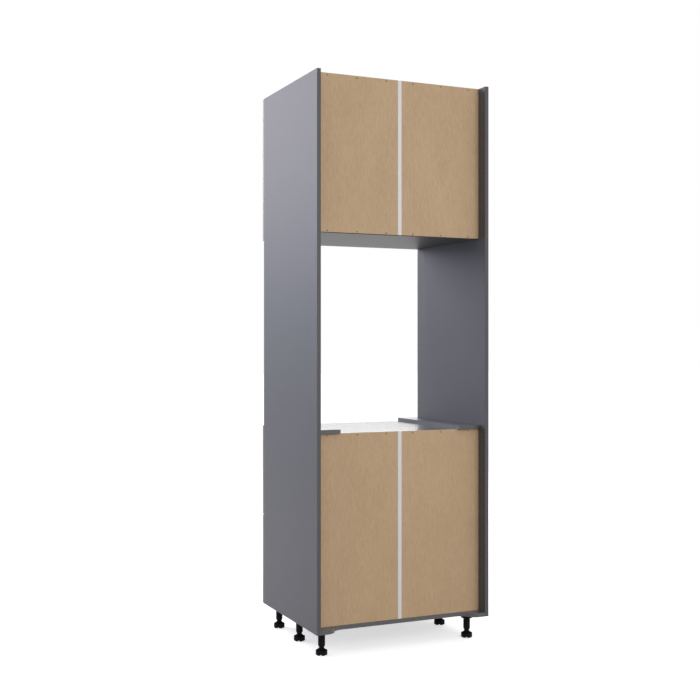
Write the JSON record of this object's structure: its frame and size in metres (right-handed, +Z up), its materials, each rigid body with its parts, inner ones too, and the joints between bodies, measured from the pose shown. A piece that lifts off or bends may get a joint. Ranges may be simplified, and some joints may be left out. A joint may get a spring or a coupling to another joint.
{
  "type": "tall oven housing unit",
  "caption": "Tall kitchen cabinet that houses a built-in oven in an open niche, with doors above it and deep drawers below it, on adjustable legs.",
  "frame": {"origin": "on the floor under the middle of the whole unit", "axes": "+Z up, the fronts face -Y, the open service side faces +Y, +X to the right of someone who faces the fronts"},
  "size_m": [0.762, 0.648, 2.271],
  "materials": {
    "carcass_laminate": "satin dark grey laminate on particle board",
    "back_hardboard": "matt brown hardboard with a fine vertical grain",
    "front_wood": "satin brown wood-grain laminate",
    "white_plastic": "white extruded plastic",
    "black_plastic": "black moulded plastic",
    "zinc": "zinc-plated steel",
    "handle_steel": "brushed stainless steel",
    "drawer_steel": "grey powder-coated sheet steel",
    "screw_steel": "dark phosphated steel",
    "beech": "plain beech"
  },
  "bodies": {
    "carcass": {"side_panel_left": "carcass_laminate", "side_panel_right": "carcass_laminate", "top_panel": "carcass_laminate", "bottom_panel": "carcass_laminate", "oven_shelf": "carcass_laminate", "upper_shelf": "carcass_laminate", "adjustable_shelf": "carcass_laminate", "shelf_pins": "zinc", "back_upper_left": "back_hardboard", "back_upper_right": "back_hardboard", "back_lower_left": "back_hardboard", "back_lower_right": "back_hardboard", "back_joiner_upper": "white_plastic", "back_joiner_lower": "white_plastic", "oven_rail_left": "carcass_laminate", "oven_rail_right": "carcass_laminate", "panel_screws": "screw_steel", "cam_locks": "zinc", "cam_bolts": "zinc", "wood_dowels": "beech", "hinge_plates": "zinc", "hinge_arms": "zinc", "cabinet_runners_upper": "zinc", "cabinet_runners_lower": "zinc", "leg_socket_front_left": "black_plastic", "leg_socket_front_right": "black_plastic", "leg_socket_middle_left": "black_plastic", "leg_socket_middle_right": "black_plastic", "leg_socket_rear_left": "black_plastic", "leg_socket_rear_right": "black_plastic"},
    "door_left": {"door_left": "front_wood", "hinge_cups_left": "zinc", "door_handle_left": "handle_steel"},
    "door_right": {"door_right": "front_wood", "hinge_cups_right": "zinc", "door_handle_right": "handle_steel"},
    "drawer_upper": {"drawer_front_upper": "front_wood", "drawer_side_upper_left": "drawer_steel", "drawer_side_upper_right": "drawer_steel", "drawer_bottom_upper": "carcass_laminate", "drawer_back_upper": "carcass_laminate", "drawer_runners_upper": "zinc", "drawer_handle_upper": "handle_steel"},
    "middle_runners_upper": {"middle_runners_upper": "zinc"},
    "drawer_lower": {"drawer_front_lower": "front_wood", "drawer_side_lower_left": "drawer_steel", "drawer_side_lower_right": "drawer_steel", "drawer_bottom_lower": "carcass_laminate", "drawer_back_lower": "carcass_laminate", "drawer_runners_lower": "zinc", "drawer_handle_lower": "handle_steel"},
    "middle_runners_lower": {"middle_runners_lower": "zinc"},
    "foot_front_left": {"foot_front_left": "black_plastic"},
    "foot_front_right": {"foot_front_right": "black_plastic"},
    "foot_middle_left": {"foot_middle_left": "black_plastic"},
    "foot_middle_right": {"foot_middle_right": "black_plastic"},
    "foot_rear_left": {"foot_rear_left": "black_plastic"},
    "foot_rear_right": {"foot_rear_right": "black_plastic"}
  },
  "joints": [
    {"name": "door_left_swing", "type": "hinge", "parent": "carcass", "child": "door_left", "pos_m": [-0.373, -0.284, 1.9645], "axis": [0, 0, -1], "range_deg": [0, 110]},
    {"name": "door_right_swing", "type": "hinge", "parent": "carcass", "child": "door_right", "pos_m": [0.373, -0.284, 1.9645], "axis": [0, 0, 1], "range_deg": [0, 110]},
    {"name": "drawer_upper_slide", "type": "slide", "parent": "carcass", "child": "drawer_upper", "axis": [0, -1, 0], "range_m": [0, 0.45]},
    {"name": "middle_runners_upper_slide", "type": "slide", "parent": "carcass", "child": "middle_runners_upper", "axis": [0, -1, 0], "range_m": [0, 0.225]},
    {"name": "drawer_lower_slide", "type": "slide", "parent": "carcass", "child": "drawer_lower", "axis": [0, -1, 0], "range_m": [0, 0.45]},
    {"name": "middle_runners_lower_slide", "type": "slide", "parent": "carcass", "child": "middle_runners_lower", "axis": [0, -1, 0], "range_m": [0, 0.225]},
    {"name": "foot_front_left_height", "type": "slide", "parent": "carcass", "child": "foot_front_left", "axis": [0, 0, -1], "range_m": [-0.005, 0.02]},
    {"name": "foot_front_right_height", "type": "slide", "parent": "carcass", "child": "foot_front_right", "axis": [0, 0, -1], "range_m": [-0.005, 0.02]},
    {"name": "foot_middle_left_height", "type": "slide", "parent": "carcass", "child": "foot_middle_left", "axis": [0, 0, -1], "range_m": [-0.005, 0.02]},
    {"name": "foot_middle_right_height", "type": "slide", "parent": "carcass", "child": "foot_middle_right", "axis": [0, 0, -1], "range_m": [-0.005, 0.02]},
    {"name": "foot_rear_left_height", "type": "slide", "parent": "carcass", "child": "foot_rear_left", "axis": [0, 0, -1], "range_m": [-0.005, 0.02]},
    {"name": "foot_rear_right_height", "type": "slide", "parent": "carcass", "child": "foot_rear_right", "axis": [0, 0, -1], "range_m": [-0.005, 0.02]}
  ],
  "couplings": [
    {"joint": "middle_runners_upper_slide", "follows": "drawer_upper_slide", "ratio": 0.5},
    {"joint": "middle_runners_lower_slide", "follows": "drawer_lower_slide", "ratio": 0.5}
  ]
}
